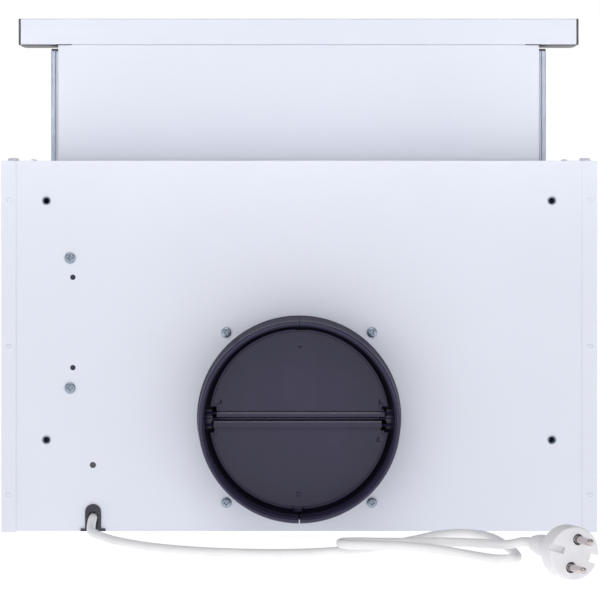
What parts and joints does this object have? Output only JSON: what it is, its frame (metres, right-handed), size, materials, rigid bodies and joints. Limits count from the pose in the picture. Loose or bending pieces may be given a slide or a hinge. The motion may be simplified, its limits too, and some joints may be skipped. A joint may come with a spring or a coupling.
{
  "type": "cooker_hood",
  "caption": "Built-in cooker hood with a pull-out drawer, a round duct collar with two flaps, a grease filter and a mains cord.",
  "frame": {"origin": "middle of the rear face that the hood stands on in the picture", "axes": "+Z the way the drawer pulls out, +X to the right of the picture, -Y towards the duct collar's side, which is the top in use"},
  "size_m": [0.45, 0.4575, 0.3963],
  "materials": {
    "white_paint": "white powder coat, slightly cool",
    "black_plastic": "satin charcoal plastic",
    "dark_cap": "dark grey plastic",
    "zinc": "bright zinc-plated steel",
    "steel": "plain steel",
    "dark_steel": "dark laminated steel",
    "nickel": "bright nickel",
    "copper": "enamelled winding wire",
    "aluminium": "bright expanded mesh",
    "cord_white": "white cord sheath",
    "plug_white": "white moulded plug",
    "grommet": "dark grey rubber",
    "white_plastic": "white moulded plastic",
    "glass": "frosted lamp glass"
  },
  "bodies": {
    "casing": {"casing_wrapper": "white_paint", "side_panel_left": "white_paint", "side_panel_right": "white_paint", "underside_frame": "white_paint", "casing_rivets": "white_paint", "front_screws": "white_paint", "mounting_rivet_nuts": "zinc", "box_screws": "zinc", "collar_screws": "zinc", "cable_grommet": "grommet", "scroll_half_left": "black_plastic", "scroll_half_right": "black_plastic", "scroll_screws": "zinc", "flap_hinge_bar": "black_plastic", "motor_can": "steel", "motor_bracket": "steel", "motor_stator": "dark_steel", "motor_windings": "copper", "motor_bushes": "nickel", "run_capacitor": "white_plastic", "terminal_box": "white_plastic", "terminal_box_cover": "white_plastic", "terminal_block": "white_plastic", "inner_cord": "cord_white", "cable_clamp": "dark_cap", "lamp_housing": "white_plastic", "lamp_lens": "glass", "control_panel": "white_plastic", "slide_bracket_left": "zinc", "slide_bracket_right": "zinc", "slide_outer_left": "zinc", "slide_outer_right": "zinc", "slide_screws": "steel", "power_cord": "cord_white", "plug_strain_relief": "plug_white", "plug_body": "plug_white", "plug_pins": "nickel", "plug_earth_contacts": "nickel"},
    "drawer": {"drawer_top_panel": "white_paint", "drawer_side_left": "zinc", "drawer_side_right": "zinc", "drawer_filter_mesh": "aluminium", "front_bar": "white_paint", "bar_rear_cover": "dark_cap", "bar_end_caps": "dark_cap", "slide_inner_left": "zinc", "slide_inner_right": "zinc"},
    "ball_cages": {"ball_cage_left": "steel", "ball_cage_right": "steel", "slide_balls": "nickel"},
    "upper_flap": {"flap_upper": "black_plastic"},
    "lower_flap": {"flap_lower": "black_plastic"},
    "rotor": {"motor_rotor": "dark_steel", "motor_shaft": "steel", "impeller": "white_plastic"},
    "grease_filter": {"filter_frame": "aluminium", "filter_mesh": "aluminium"},
    "filter_catch": {"filter_latch": "dark_cap"},
    "fan_switch": {"fan_switch_knob": "dark_cap"},
    "light_switch": {"light_switch_knob": "dark_cap"}
  },
  "joints": [
    {"name": "drawer_slide", "type": "slide", "parent": "casing", "child": "drawer", "axis": [0, 0, 1], "range_m": [-0.0944, 0]},
    {"name": "cage_slide", "type": "slide", "parent": "casing", "child": "ball_cages", "axis": [0, 0, 1], "range_m": [-0.0472, 0]},
    {"name": "upper_flap_hinge", "type": "hinge", "parent": "casing", "child": "upper_flap", "pos_m": [0, -0.0805, 0.0912], "axis": [1, 0, 0], "range_deg": [0, 80]},
    {"name": "lower_flap_hinge", "type": "hinge", "parent": "casing", "child": "lower_flap", "pos_m": [0, -0.0805, 0.082], "axis": [1, 0, 0], "range_deg": [-80, 0]},
    {"name": "fan_spin", "type": "hinge", "parent": "casing", "child": "rotor", "pos_m": [0, 0.0005, 0.13], "axis": [1, 0, 0], "continuous": true},
    {"name": "filter_hinge", "type": "hinge", "parent": "casing", "child": "grease_filter", "pos_m": [0, 0.1066, 0.029], "axis": [1, 0, 0], "range_deg": [-80, 0]},
    {"name": "filter_catch_slide", "type": "slide", "parent": "grease_filter", "child": "filter_catch", "axis": [0, 0, 1], "range_m": [0, 0.003]},
    {"name": "fan_switch_slide", "type": "slide", "parent": "casing", "child": "fan_switch", "axis": [1, 0, 0], "range_m": [0, 0.0204]},
    {"name": "light_switch_slide", "type": "slide", "parent": "casing", "child": "light_switch", "axis": [1, 0, 0], "range_m": [0, 0.0084]}
  ],
  "couplings": [
    {"joint": "cage_slide", "follows": "drawer_slide", "ratio": 0.5}
  ]
}
